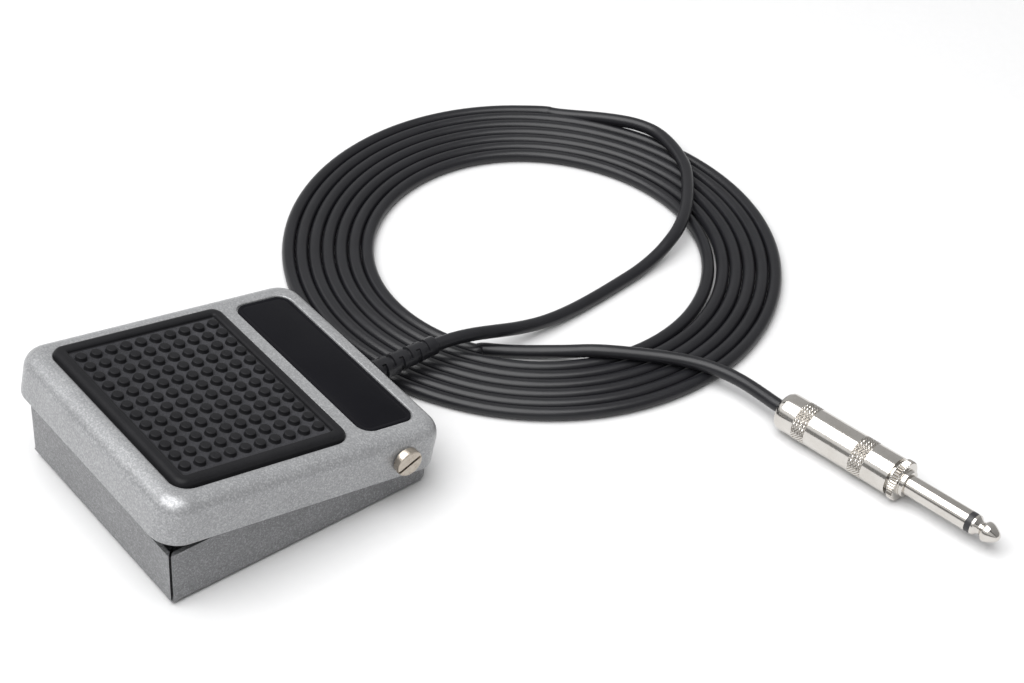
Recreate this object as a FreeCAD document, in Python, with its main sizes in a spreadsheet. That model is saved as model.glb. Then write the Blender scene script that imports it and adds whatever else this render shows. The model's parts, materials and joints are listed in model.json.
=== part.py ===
import FreeCAD, Part
import math
import os
import re

# Sustain pedal with its cord and quarter-inch plug, in millimetres.
# +X is the right side, +Y is the hinge and cord end, +Z is up.
# The origin is the middle of the mat's underside, on the floor.

doc = FreeCAD.newDocument("SustainPedal")
sheet = doc.addObject("Spreadsheet::Sheet", "Sizes")

driving_sizes = [
    ("mat_thick", 1.0, "rubber mat under the pan"),
    ("mat_inset", 3.0, "mat edge to pan edge"),
    ("pan_width", 74.6, "folded steel base pan"),
    ("pan_length", 87.0, ""),
    ("pan_height", 18.2, ""),
    ("pan_sheet", 1.2, "steel thickness of the pan"),
    ("pan_bend", 1.0, "outer bend radius at the floor"),
    ("pan_corner", 3.0, "rear corners, seen from above"),
    ("seam_gap", 0.7, "open corner between two walls"),
    ("seam_reach", 2.4, "half length of the corner cut"),
    ("lip_width", 28.0, "inward lip that the hook catches"),
    ("lip_depth", 6.0, ""),
    ("cover_width", 82.0, "pressed steel treadle cover"),
    ("cover_length", 94.3, ""),
    ("cover_height", 13.8, ""),
    ("cover_wall", 1.8, "steel thickness of the cover"),
    ("cover_corner", 8.0, "radius seen from above"),
    ("cover_edge", 5.0, "radius along the top edge"),
    ("cover_tilt", 11.0, "degrees, front raised"),
    ("cover_mid", -0.8, "Y of the skirt plane's middle"),
    ("cover_low", 17.3, "Z of the skirt plane's middle"),
    ("notch_width", 13.0, "way for the strain relief"),
    ("notch_height", 9.2, ""),
    ("pad_width", 68.2, "rubber tread pad"),
    ("pad_length", 56.3, ""),
    ("pad_middle", -12.0, "along the cover"),
    ("pad_sink", 1.0, "depth of the pad's recess"),
    ("pad_rise", 1.8, "rim above the cover"),
    ("pad_field", 0.6, "field above the cover"),
    ("pad_rim", 3.6, "rim width"),
    ("pad_round", 1.6, "outer edge of the rim"),
    ("pad_corner", 3.4, ""),
    ("pad_gap", 0.7, "gap round the pad"),
    ("pad_recess_corner", 5.5, ""),
    ("stud_pitch", 4.9, "square grid"),
    ("stud_radius", 1.65, ""),
    ("stud_height", 1.3, ""),
    ("stud_columns", 12, "across"),
    ("stud_rows", 10, "front to back"),
    ("plate_width", 67.3, "blank name plate"),
    ("plate_length", 18.6, ""),
    ("plate_middle", 31.0, "along the cover"),
    ("plate_sink", 0.8, "depth of the plate's recess"),
    ("plate_thick", 0.6, ""),
    ("plate_corner", 4.0, ""),
    ("plate_gap", 0.35, "gap round the plate"),
    ("plate_recess_corner", 4.35, ""),
    ("hinge_back", 31.9, "Y of the hinge axis"),
    ("hinge_up", 17.5, "Z of the hinge axis"),
    ("ear_radius", 4.6, "pan ear round the hinge"),
    ("body_gap", 0.3, "between parts that move"),
    ("thread_radius", 2.0, "M4 end of the shoulder screw"),
    ("thread_length", 6.0, ""),
    ("shoulder_radius", 2.5, ""),
    ("head_radius", 4.2, ""),
    ("head_depth", 2.5, ""),
    ("slot_width", 0.9, "screwdriver slot"),
    ("slot_turn", 111.0, "degrees from upright"),
    ("pin_head", 3.0, "low head on the left side"),
    ("pin_head_depth", 0.5, ""),
    ("slot_depth", 1.2, ""),
    ("nut_radius", 4.0, "across corners, half"),
    ("nut_depth", 3.0, ""),
    ("bush_radius", 3.5, "nylon bush in the skirt"),
    ("bush_flange", 4.4, ""),
    ("bush_slack", 0.05, "radial running clearance"),
    ("cord_radius", 2.1, "two-core cord"),
    ("exit_height", 11.0, "cord axis at the pan wall"),
    ("relief_grip", 3.5, "neck in the pan's hole"),
    ("relief_flange", 4.6, ""),
    ("relief_flange_depth", 1.6, ""),
    ("relief_root", 3.8, "taper at the wall"),
    ("relief_end", 3.0, "taper at the cord"),
    ("relief_taper", 25.4, "length of the taper"),
    ("relief_collar", 3.0, "plain end"),
    ("relief_slot", 1.5, "width of the flex slots"),
    ("relief_core", 2.6, "left uncut round the cord"),
    ("cord_inner_end", 26.0, "Y where the jacket is cut back"),
    ("saddle_width", 14.0, "cord clamp"),
    ("saddle_front", 29.0, ""),
    ("saddle_length", 5.0, ""),
    ("clamp_bar", 3.0, ""),
    ("clamp_screw_out", 4.6, ""),
    ("clamp_screw_radius", 1.2, ""),
    ("clamp_screw_head", 2.2, ""),
    ("clamp_screw_cap", 1.5, ""),
    ("spring_back", -14.0, "Y of the return spring"),
    ("spring_radius", 6.6, "mean radius"),
    ("spring_wire", 0.7, "wire radius"),
    ("spring_pitch", 3.8, ""),
    ("cup_radius", 9.5, "lower spring seat"),
    ("cup_floor", 1.5, ""),
    ("peg_radius", 5.2, "pegs inside the spring"),
    ("cup_peg", 5.3, ""),
    ("boss_radius", 9.0, "upper spring seat"),
    ("boss_low", 28.0, "Z of the upper seat"),
    ("boss_peg", 6.0, ""),
    ("case_width", 6.4, "miniature snap switch"),
    ("case_front", -0.9, ""),
    ("case_length", 19.8, ""),
    ("case_low", 9.0, ""),
    ("case_height", 10.2, ""),
    ("chamber_low", 12.9, "switch chamber"),
    ("chamber_height", 5.3, ""),
    ("lid_thick", 0.8, ""),
    ("pivot_back", 17.3, "Y of the lever's pin"),
    ("pivot_up", 19.9, "Z of the lever's pin"),
    ("pivot_radius", 0.6, ""),
    ("pivot_slack", 0.03, ""),
    ("cheek_width", 0.7, "ears that hold the pin"),
    ("cheek_top", 1.7, ""),
    ("lever_tilt", 11.0, "degrees at rest"),
    ("lever_width", 4.4, ""),
    ("lever_reach", 20.5, ""),
    ("lever_sheet", 0.4, ""),
    ("tip_radius", 1.1, "rolled tip"),
    ("tip_reach", 19.6, ""),
    ("plunger_back", 11.3, ""),
    ("plunger_low", 16.0, ""),
    ("plunger_top", 20.4, ""),
    ("plunger_radius", 0.9, ""),
    ("plunger_slack", 0.05, ""),
    ("lug_low", 4.6, "solder lugs"),
    ("lug_width", 3.2, ""),
    ("lug_sheet", 0.5, ""),
    ("lug_first", 1.5, ""),
    ("lug_pitch", 7.4, ""),
    ("lug_top", 13.6, ""),
    ("blade_up", 14.6, "contact blade"),
    ("blade_sheet", 0.2, ""),
    ("bracket_sheet", 1.2, ""),
    ("bracket_foot", 9.6, ""),
    ("rivet_radius", 1.3, ""),
    ("rivet_head", 2.3, ""),
    ("rivet_cap", 0.9, ""),
    ("rivet_inset", 4.0, ""),
    ("switch_screw_up", 11.0, ""),
    ("switch_screw_first", 4.25, "from the middle"),
    ("switch_screw_radius", 1.1, ""),
    ("switch_screw_head", 1.9, ""),
    ("switch_screw_cap", 1.2, ""),
    ("switch_nut_radius", 2.3, ""),
    ("switch_nut_depth", 1.6, ""),
    ("striker_radius", 2.2, ""),
    ("striker_back", -1.8, ""),
    ("striker_low", 25.85, ""),
    ("hook_width", 16.0, "catch hook"),
    ("hook_front", -34.5, ""),
    ("hook_sheet", 1.5, ""),
    ("hook_low", 14.4, ""),
    ("hook_toe", 6.5, ""),
    ("hook_flange", 8.5, ""),
    ("up_stop", 1.8, "rubber on the hook"),
    ("down_stop", 4.9, "rubber block under the hook"),
    ("coil_x", -27.3, "middle of the cord's coil"),
    ("coil_y", 134.5, ""),
    ("coil_inner", 50.5, ""),
    ("coil_outer", 82.0, ""),
    ("coil_height", 4.3, ""),
    ("plug_x", 79.3, "rear end of the plug"),
    ("plug_y", 145.4, ""),
    ("plug_up", 6.5, "height of the plug's axis"),
    ("plug_yaw", 9.4, "degrees from +X"),
    ("barrel_radius", 6.1, ""),
    ("barrel_length", 41.5, ""),
    ("barrel_round", 2.4, ""),
    ("barrel_bore", 4.9, ""),
    ("barrel_end", 3.0, "thickness of the rear end"),
    ("grommet_radius", 3.1, ""),
    ("collar_neck", 5.4, ""),
    ("collar_gap", 1.0, ""),
    ("collar_radius", 6.5, ""),
    ("collar_length", 2.4, ""),
    ("collar_insert", 6.5, ""),
    ("shoulder_big", 5.2, ""),
    ("shoulder_small", 4.2, ""),
    ("shoulder_length", 1.6, ""),
    ("shank_radius", 3.175, "quarter-inch contact"),
    ("sleeve_length", 20.85, ""),
    ("sleeve_bore", 2.2, ""),
    ("ring_length", 1.8, "black ring"),
    ("rod_radius", 1.2, "centre conductor"),
    ("rod_back", 15.0, ""),
    ("tip_land", 0.9, ""),
    ("tip_neck", 2.0, ""),
    ("tip_fall", 1.4, ""),
    ("tip_climb", 1.7, ""),
    ("tip_point", 0.9, ""),
    ("tip_taper", 4.55, ""),
    ("ferrule_radius", 2.9, "cord clamp in the plug"),
    ("ferrule_low", 9.0, ""),
    ("ferrule_length", 5.0, ""),
    ("wire_radius", 0.55, "insulated wires to the switch"),
]

for row, (alias, value, note) in enumerate(driving_sizes, start=1):
    sheet.set(f"A{row}", alias)
    sheet.set(f"B{row}", str(value))
    sheet.set(f"C{row}", note)
    sheet.setAlias(f"B{row}", alias)
doc.recompute()

alias_words = re.compile(r"\b(" + "|".join(row[0] for row in driving_sizes) + r")\b")
along_x = FreeCAD.Rotation(FreeCAD.Vector(0, 1, 0), 90)
along_minus_x = FreeCAD.Rotation(FreeCAD.Vector(0, 1, 0), -90)
along_y = FreeCAD.Rotation(FreeCAD.Vector(1, 0, 0), -90)
no_turn = FreeCAD.Rotation()
here = ("0", "0", "0")
nodes = {}


def size(alias):
    """The number that the sheet holds under an alias."""
    return float(getattr(sheet, alias))


def bind(thing, prop, text):
    """Tie a property to the sheet: bare aliases in the text become cell references."""
    thing.setExpression(prop, alias_words.sub(r"Sizes.\1", text))


def put(thing, at, turn=no_turn):
    """Turn an object, then bind where its own origin stands."""
    thing.Placement = FreeCAD.Placement(FreeCAD.Vector(0, 0, 0), turn)
    for letter, text in zip("xyz", at):
        bind(thing, f"Placement.Base.{letter}", text)


def new_body(label, at=here, turn=no_turn):
    body = doc.addObject("PartDesign::Body", label)
    body.Label = label
    put(body, at, turn)
    nodes[label] = body
    return body


def new_cover_body(label):
    """A body drawn in the cover's own frame: its skirt plane, front raised."""
    body = new_body(label, ("0", "cover_mid", "cover_low"), FreeCAD.Rotation(FreeCAD.Vector(1, 0, 0), -11))
    bind(body, "Placement.Rotation.Angle", "-cover_tilt")
    return body


def feature(body, kind, settings, at=here, turn=no_turn):
    """Add one PartDesign primitive with bound sizes."""
    thing = body.newObject("PartDesign::" + kind, body.Label + "_" + kind)
    put(thing, at, turn)
    for prop, text in settings.items():
        bind(thing, prop, text)
    return thing


def box(body, sign, length, width, height, at, turn=no_turn):
    kind = {"+": "AdditiveBox", "-": "SubtractiveBox"}[sign]
    return feature(body, kind, {"Length": length, "Width": width, "Height": height}, at, turn)


def cylinder(body, sign, radius, height, at=here, turn=no_turn):
    kind = {"+": "AdditiveCylinder", "-": "SubtractiveCylinder"}[sign]
    return feature(body, kind, {"Radius": radius, "Height": height}, at, turn)


def cone(body, low_radius, high_radius, height, at=here, turn=no_turn):
    settings = {"Radius1": low_radius, "Radius2": high_radius, "Height": height}
    return feature(body, "AdditiveCone", settings, at, turn)


def hexagon(body, radius, height, at=here, turn=no_turn):
    thing = feature(body, "AdditivePrism", {"Circumradius": radius, "Height": height}, at, turn)
    thing.Polygon = 6
    return thing


def round_edges(body, radius, wanted):
    """Fillet the edges of the body's latest shape for which wanted(edge) is true."""
    doc.recompute()
    last = body.Tip
    picked = [f"Edge{i}" for i, edge in enumerate(last.Shape.Edges, start=1) if wanted(edge)]
    if not picked:
        raise RuntimeError("no edges to round on " + body.Label)
    rounded = body.newObject("PartDesign::Fillet", body.Label + "_Fillet")
    rounded.Base = (last, picked)
    bind(rounded, "Radius", radius)
    return rounded


def edge_middle(edge):
    return edge.valueAt((edge.FirstParameter + edge.LastParameter) / 2)


def is_upright(edge):
    if not isinstance(edge.Curve, Part.Line):
        return False
    return abs(edge.tangentAt(edge.FirstParameter).z) > 0.999


def lies_at(edge, height):
    bounds = edge.BoundBox
    return abs(bounds.ZMin - height) < 0.01 and abs(bounds.ZMax - height) < 0.01


def cover_point(along, up):
    """Y and Z, as texts, of a point given in the cover's own frame."""
    y = f"cover_mid + ({along}) * cos(cover_tilt) + ({up}) * sin(cover_tilt)"
    z = f"cover_low - ({along}) * sin(cover_tilt) + ({up}) * cos(cover_tilt)"
    return y, z


def trim_to_ceiling(body):
    """Cut an upright piece off at the underside of the cover's roof."""
    y, z = cover_point("-60", "cover_height - cover_wall")
    block = box(body, "-", "100", "120", "40", ("-50", y, z), FreeCAD.Rotation(FreeCAD.Vector(1, 0, 0), -11))
    bind(block, "Placement.Rotation.Angle", "-cover_tilt")


def mirrored_pair(label, source, normal, middle):
    """Two equal solids in one node: the source and its mirror image."""
    twin = doc.addObject("Part::Mirroring", label + "_twin")
    twin.Source = source
    twin.Normal = normal
    twin.Base = middle
    pair = doc.addObject("Part::Compound", label)
    pair.Links = [source, twin]
    pair.Label = label
    del nodes[source.Label]
    nodes[label] = pair
    return pair


floor_up = "mat_thick + pan_sheet"
pan_top = "mat_thick + pan_height"


def make_mat():
    body = new_body("anti_slip_mat")
    box(body, "+", "pan_width - 2 * mat_inset", "pan_length - 2 * mat_inset", "mat_thick",
        ("mat_inset - pan_width / 2", "mat_inset - pan_length / 2", "0"))
    round_edges(body, "4", is_upright)


def make_pan():
    body = new_body("base_pan")
    box(body, "+", "pan_width", "pan_length", "pan_height", ("-pan_width / 2", "-pan_length / 2", "mat_thick"))
    floor_line = size("mat_thick")
    round_edges(body, "pan_corner", lambda edge: is_upright(edge) and edge_middle(edge).y > 0)
    round_edges(body, "pan_bend", lambda edge: lies_at(edge, floor_line))
    box(body, "-", "pan_width - 2 * pan_sheet", "pan_length - 2 * pan_sheet", "pan_height",
        ("pan_sheet - pan_width / 2", "pan_sheet - pan_length / 2", floor_up))
    for side in (-1, 1):
        for end in (-1, 1):
            angle = 45 * side * end
            corner_x = f"{side} * pan_width / 2 - seam_reach * cos({angle}) + seam_gap / 2 * sin({angle})"
            corner_y = f"{end} * pan_length / 2 - seam_reach * sin({angle}) - seam_gap / 2 * cos({angle})"
            box(body, "-", "2 * seam_reach", "seam_gap", "pan_height", (corner_x, corner_y, floor_up),
                FreeCAD.Rotation(FreeCAD.Vector(0, 0, 1), angle))
    for start in ("-pan_width / 2", "pan_width / 2 - pan_sheet"):
        cylinder(body, "+", "ear_radius", "pan_sheet", (start, "hinge_back", "hinge_up"), along_x)
    box(body, "+", "lip_width", "lip_depth", "pan_sheet",
        ("-lip_width / 2", "-pan_length / 2", pan_top + " - pan_sheet"))
    cylinder(body, "-", "thread_radius", "pan_width + 2", ("-pan_width / 2 - 1", "hinge_back", "hinge_up"), along_x)
    cylinder(body, "-", "relief_grip", "pan_sheet + 2", ("0", "pan_length / 2 - pan_sheet - 1", "exit_height"),
             along_y)
    for along in rivet_places:
        cylinder(body, "-", "rivet_radius", "pan_sheet + 2", (rivet_x, along, "mat_thick - 1"))


rivet_x = "case_width / 2 + bracket_sheet + bracket_foot / 2"
rivet_places = ("case_front + rivet_inset", "case_front + case_length - rivet_inset")


def make_cover():
    body = new_cover_body("top_cover")
    roof = size("cover_height")
    box(body, "+", "cover_width", "cover_length", "cover_height", ("-cover_width / 2", "-cover_length / 2", "0"))
    round_edges(body, "cover_corner", is_upright)
    round_edges(body, "cover_edge", lambda edge: lies_at(edge, roof))
    hollow_out(body, "cover_wall")
    cut_recess(body, "pad")
    cut_recess(body, "plate")
    y, z = hinge_in_cover()
    cylinder(body, "-", "bush_radius", "cover_width + 2", ("-cover_width / 2 - 1", y, z), along_x)
    box(body, "-", "notch_width", "cover_wall + 4", "notch_height",
        ("-notch_width / 2", "cover_length / 2 - cover_wall - 2", "0"))


def hollow_out(body, wall):
    """Shell the body inwards from its open underside."""
    doc.recompute()
    last = body.Tip
    faces = [f"Face{i}" for i, face in enumerate(last.Shape.Faces, start=1) if face.BoundBox.ZMax < 0.01]
    shell = body.newObject("PartDesign::Thickness", body.Label + "_shell")
    shell.Base = (last, faces)
    shell.Reversed = True
    bind(shell, "Value", wall)


def hinge_in_cover():
    """The hinge axis, as texts, in the cover's own frame."""
    back = "(hinge_back - cover_mid)"
    up = "(hinge_up - cover_low)"
    return (f"{back} * cos(cover_tilt) - {up} * sin(cover_tilt)",
            f"{back} * sin(cover_tilt) + {up} * cos(cover_tilt)")


def cut_recess(body, name):
    """A shallow rounded recess in the roof for the pad or the plate."""
    box(body, "-", f"{name}_width + 2 * {name}_gap", f"{name}_length + 2 * {name}_gap", f"{name}_sink",
        (f"-{name}_width / 2 - {name}_gap", f"{name}_middle - {name}_length / 2 - {name}_gap",
         f"cover_height - {name}_sink"))
    low = size("cover_height") - size(name + "_sink")
    middle = size(name + "_middle")
    half = size(name + "_length") / 2 + 1
    round_edges(body, f"{name}_recess_corner", lambda edge: is_upright(edge)
                and abs(edge.BoundBox.ZMin - low) < 0.01 and abs(edge_middle(edge).y - middle) < half)


def make_tread_pad():
    body = new_cover_body("tread_pad")
    low = "cover_height - pad_sink"
    box(body, "+", "pad_width", "pad_length", "pad_sink + pad_rise",
        ("-pad_width / 2", "pad_middle - pad_length / 2", low))
    round_edges(body, "pad_corner", is_upright)
    rim_top = size("cover_height") + size("pad_rise")
    round_edges(body, "pad_round", lambda edge: lies_at(edge, rim_top))
    box(body, "-", "pad_width - 2 * pad_rim", "pad_length - 2 * pad_rim", "pad_rise - pad_field",
        ("pad_rim - pad_width / 2", "pad_middle - pad_length / 2 + pad_rim", "cover_height + pad_field"))
    round_edges(body, "1.5", lambda edge: is_upright(edge)
                and abs(edge.BoundBox.ZMax - rim_top) < 0.01)
    stud = cylinder(body, "+", "stud_radius", "stud_height + 0.2",
                    ("-(stud_columns - 1) * stud_pitch / 2", "pad_middle - (stud_rows - 1) * stud_pitch / 2",
                     "cover_height + pad_field - 0.2"))
    grid = body.newObject("PartDesign::MultiTransform", "studs")
    steps = []
    for role, count in (("X_Axis", "stud_columns"), ("Y_Axis", "stud_rows")):
        step = body.newObject("PartDesign::LinearPattern", "studs_" + role)
        step.Direction = (origin_feature(body, role), [""])
        bind(step, "Length", f"({count} - 1) * stud_pitch")
        bind(step, "Occurrences", count)
        steps.append(step)
    grid.Originals = [stud]
    grid.Transformations = steps
    body.Tip = grid


def origin_feature(body, role):
    return next(item for item in body.Origin.OriginFeatures if item.Role == role)


def make_name_plate():
    body = new_cover_body("name_plate")
    box(body, "+", "plate_width", "plate_length", "plate_thick",
        ("-plate_width / 2", "plate_middle - plate_length / 2", "cover_height - plate_sink"))
    round_edges(body, "plate_corner", is_upright)


def make_hinge(side, turn, side_sign, head):
    """Shoulder screw, nut and bush on one side, drawn along the screw from the pan's wall outwards."""
    head_width, head_thick, edge_round, slotted = head
    wall = (f"{side_sign} * pan_width / 2", "hinge_back", "hinge_up")
    reach = "(cover_width - pan_width) / 2 + body_gap"
    screw = new_body("hinge_screw_" + side, wall, turn)
    cylinder(screw, "+", "shoulder_radius", reach)
    cylinder(screw, "+", "thread_radius", "thread_length", ("0", "0", "-thread_length"))
    cylinder(screw, "+", head_width, head_thick, ("0", "0", reach))
    face = (size("cover_width") - size("pan_width")) / 2 + size("body_gap") + size(head_thick)
    round_edges(screw, edge_round, lambda edge: lies_at(edge, face))
    if slotted:
        slot_start = ("-1.5 * head_radius * cos(slot_turn) + slot_width / 2 * sin(slot_turn)",
                      "-1.5 * head_radius * sin(slot_turn) - slot_width / 2 * cos(slot_turn)",
                      reach + " + head_depth - slot_depth")
        box(screw, "-", "3 * head_radius", "slot_width", "slot_depth", slot_start,
            FreeCAD.Rotation(FreeCAD.Vector(0, 0, 1), size("slot_turn")))

    nut = new_body("hinge_nut_" + side, wall, turn)
    hexagon(nut, "nut_radius", "nut_depth", ("0", "0", "-pan_sheet - nut_depth"))
    cylinder(nut, "-", "thread_radius", "nut_depth + 2", ("0", "0", "-pan_sheet - nut_depth - 1"))

    bush = new_body("hinge_bush_" + side, wall, turn)
    flange = "(cover_width - pan_width) / 2 - cover_wall - body_gap"
    cylinder(bush, "+", "bush_flange", flange, ("0", "0", "body_gap"))
    cylinder(bush, "+", "bush_radius", "cover_wall", ("0", "0", "(cover_width - pan_width) / 2 - cover_wall"))
    cylinder(bush, "-", "shoulder_radius + bush_slack", "2 * cover_width", ("0", "0", "-cover_width"))


def make_strain_relief():
    body = new_body("strain_relief", ("0", "pan_length / 2", "exit_height"), along_y)
    cylinder(body, "+", "relief_flange", "relief_flange_depth", ("0", "0", "-pan_sheet - relief_flange_depth"))
    cylinder(body, "+", "relief_grip", "pan_sheet", ("0", "0", "-pan_sheet"))
    cylinder(body, "+", "relief_flange", "relief_flange_depth")
    cone(body, "relief_root", "relief_end", "relief_taper", ("0", "0", "relief_flange_depth"))
    cylinder(body, "+", "relief_end", "relief_collar", ("0", "0", "relief_flange_depth + relief_taper"))
    slot_count = 8
    for slot in range(slot_count):
        along = f"relief_flange_depth + relief_taper * {slot + 0.6} / {slot_count} - relief_slot / 2"
        sideways = slot % 2 == 0
        for direction in (-1, 1):
            across = f"{direction} * (relief_core + 3) - 3"
            if sideways:
                box(body, "-", "6", "7", "relief_slot", (across, "-3.5", along))
            else:
                box(body, "-", "7", "6", "relief_slot", ("-3.5", across, along))
    cylinder(body, "-", "cord_radius", "100", ("0", "0", "-50"))


relief_tip = "pan_length / 2 + relief_flange_depth + relief_taper + relief_collar"


def make_cord_inside():
    body = new_body("inner_cord", ("0", "cord_inner_end", "exit_height"), along_y)
    cylinder(body, "+", "cord_radius", relief_tip + " - cord_inner_end")

    saddle = new_body("cord_saddle")
    box(saddle, "+", "saddle_width", "saddle_length", f"exit_height - ({floor_up})",
        ("-saddle_width / 2", "saddle_front", floor_up))
    bar = new_body("cord_clamp_bar")
    box(bar, "+", "saddle_width", "saddle_length", "clamp_bar", ("-saddle_width / 2", "saddle_front", "exit_height"))
    middle = "saddle_front + saddle_length / 2"
    for piece in (saddle, bar):
        cylinder(piece, "-", "cord_radius", "saddle_length + 2", ("0", "saddle_front - 1", "exit_height"), along_y)
        for side in (-1, 1):
            cylinder(piece, "-", "clamp_screw_radius", "9", (f"{side} * clamp_screw_out", middle, "exit_height - 5"))

    screw = new_body("cord_clamp_screw_one", ("clamp_screw_out", middle, "exit_height"))
    cylinder(screw, "+", "clamp_screw_radius", "5 + clamp_bar", ("0", "0", "-5"))
    cylinder(screw, "+", "clamp_screw_head", "clamp_screw_cap", ("0", "0", "clamp_bar"))
    box(screw, "-", "5", "0.6", "0.7", ("-2.5", "-0.3", "clamp_bar + clamp_screw_cap - 0.7"))
    mirrored_pair("cord_clamp_screws", screw, FreeCAD.Vector(1, 0, 0), FreeCAD.Vector(0, 0, 0))


def make_spring():
    cup = new_body("spring_cup", ("0", "spring_back", floor_up))
    cylinder(cup, "+", "cup_radius", "cup_floor")
    cylinder(cup, "+", "peg_radius", "cup_peg", ("0", "0", "cup_floor"))
    round_edges(cup, "0.8", lambda edge: lies_at(edge, size("cup_floor") + size("cup_peg")))

    boss = new_body("spring_boss")
    cylinder(boss, "+", "boss_radius", "10", ("0", "spring_back", "boss_low"))
    cylinder(boss, "+", "peg_radius", "boss_peg", ("0", "spring_back", "boss_low - boss_peg"))
    trim_to_ceiling(boss)

    line = doc.addObject("Part::Helix", "spring_line")
    put(line, ("0", "spring_back", floor_up + " + cup_floor + spring_wire"))
    bind(line, "Radius", "spring_radius")
    bind(line, "Pitch", "spring_pitch")
    bind(line, "Height", f"boss_low - ({floor_up}) - cup_floor - 2 * spring_wire")
    section = doc.addObject("Part::Circle", "spring_section")
    put(section, ("spring_radius", "spring_back", floor_up + " + cup_floor + spring_wire"),
        FreeCAD.Rotation(FreeCAD.Vector(1, 0, 0), 90))
    bind(section, "Radius", "spring_wire")
    spring = doc.addObject("Part::Sweep", "return_spring")
    spring.Sections = [section]
    spring.Spine = (line, ["Edge1"])
    spring.Solid = True
    spring.Frenet = True
    spring.Label = "return_spring"
    nodes["return_spring"] = spring


def make_stops():
    hook = new_body("catch_hook")
    box(hook, "+", "hook_width", "hook_sheet", "30", ("-hook_width / 2", "hook_front", "hook_low"))
    box(hook, "+", "hook_width", "hook_toe + hook_sheet", "hook_sheet",
        ("-hook_width / 2", "hook_front - hook_toe", "hook_low"))
    trim_to_ceiling(hook)
    y, z = cover_point("-36.3", "cover_height - cover_wall - hook_sheet")
    flange = box(hook, "+", "hook_width", "hook_flange", "hook_sheet", ("-hook_width / 2", y, z),
                 FreeCAD.Rotation(FreeCAD.Vector(1, 0, 0), -11))
    bind(flange, "Placement.Rotation.Angle", "-cover_tilt")

    up_pad = new_body("up_stop_pad")
    box(up_pad, "+", "hook_width", "hook_toe - 1", "up_stop",
        ("-hook_width / 2", "hook_front - hook_toe", "hook_low + hook_sheet"))

    down_pad = new_body("down_stop_pad")
    box(down_pad, "+", "hook_width", "hook_toe", "down_stop",
        ("-hook_width / 2", "hook_front - hook_toe", floor_up))
    top = size("mat_thick") + size("pan_sheet") + size("down_stop")
    round_edges(down_pad, "0.8", lambda edge: lies_at(edge, top))


lug_places = ("lug_first", "lug_first + lug_pitch", "lug_first + 2 * lug_pitch")


def cut_or_add_lugs(body, sign, lug_index=None):
    for index, along in enumerate(lug_places):
        if lug_index is None or lug_index == index:
            top = "blade_up" if index == 2 else "lug_top"
            box(body, sign, "lug_width", "lug_sheet", f"{top} - lug_low",
                ("-lug_width / 2", along + " - lug_sheet / 2", "lug_low"))


def make_switch():
    case = new_body("switch_case")
    case_top = "case_low + case_height"
    half = "case_width / 2"
    box(case, "+", "case_width", "case_length", "case_height", (f"-{half}", "case_front", "case_low"))
    box(case, "-", f"{half} + 1.9", "case_length - 3", "chamber_height",
        (f"-{half}", "case_front + 1.5", "chamber_low"))
    for start in (f"-{half}", f"{half} - cheek_width"):
        box(case, "+", "cheek_width", "3.1", "cheek_top", (start, "pivot_back - 1.5", case_top))
    cylinder(case, "-", "pivot_radius + pivot_slack", "case_width + 2",
             (f"-{half} - 1", "pivot_back", "pivot_up"), along_x)
    cylinder(case, "-", "plunger_radius + plunger_slack", "4", ("0", "plunger_back", case_top + " - 2"))
    for place in switch_screw_places:
        cylinder(case, "-", "switch_screw_radius", "case_width + 2", (f"-{half} - 1", place, "switch_screw_up"),
                 along_x)
    cut_or_add_lugs(case, "-")

    lid = new_body("switch_lid")
    box(lid, "+", "lid_thick", "case_length - 3", "chamber_height", (f"-{half}", "case_front + 1.5", "chamber_low"))

    lugs = []
    for index in range(len(lug_places)):
        lug = new_body(f"switch_lug_{index}")
        cut_or_add_lugs(lug, "+", index)
        lugs.append(lug)
    group = doc.addObject("Part::Compound", "switch_terminals")
    group.Links = lugs
    group.Label = "switch_terminals"
    for lug in lugs:
        del nodes[lug.Label]
    nodes["switch_terminals"] = group

    blade = new_body("switch_blade")
    box(blade, "+", "2.4", "2 * lug_pitch + lug_sheet", "blade_sheet",
        ("-1.2", "lug_first - lug_sheet / 2", "blade_up"))

    plunger = new_body("switch_plunger", ("0", "plunger_back", "plunger_low"))
    cylinder(plunger, "+", "plunger_radius", "plunger_top - plunger_low")
    cylinder(plunger, "+", "1.5", "0.8")

    lever = new_body("switch_lever", ("0", "pivot_back", "pivot_up"), FreeCAD.Rotation(FreeCAD.Vector(1, 0, 0), -11))
    bind(lever, "Placement.Rotation.Angle", "-lever_tilt")
    box(lever, "+", "lever_width", "lever_reach + pivot_radius", "lever_sheet",
        ("-lever_width / 2", "-lever_reach", "-lever_sheet / 2"))
    cylinder(lever, "+", "pivot_radius", "case_width", (f"-{half}", "0", "0"), along_x)
    cylinder(lever, "+", "tip_radius", "lever_width", ("-lever_width / 2", "-tip_reach", "2 * lever_sheet"), along_x)

    striker = new_body("striker")
    cylinder(striker, "+", "striker_radius", "10", ("0", "striker_back", "striker_low"))
    trim_to_ceiling(striker)


switch_middle = "case_front + case_length / 2"
switch_screw_places = (switch_middle + " - switch_screw_first", switch_middle + " + switch_screw_first")


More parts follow.
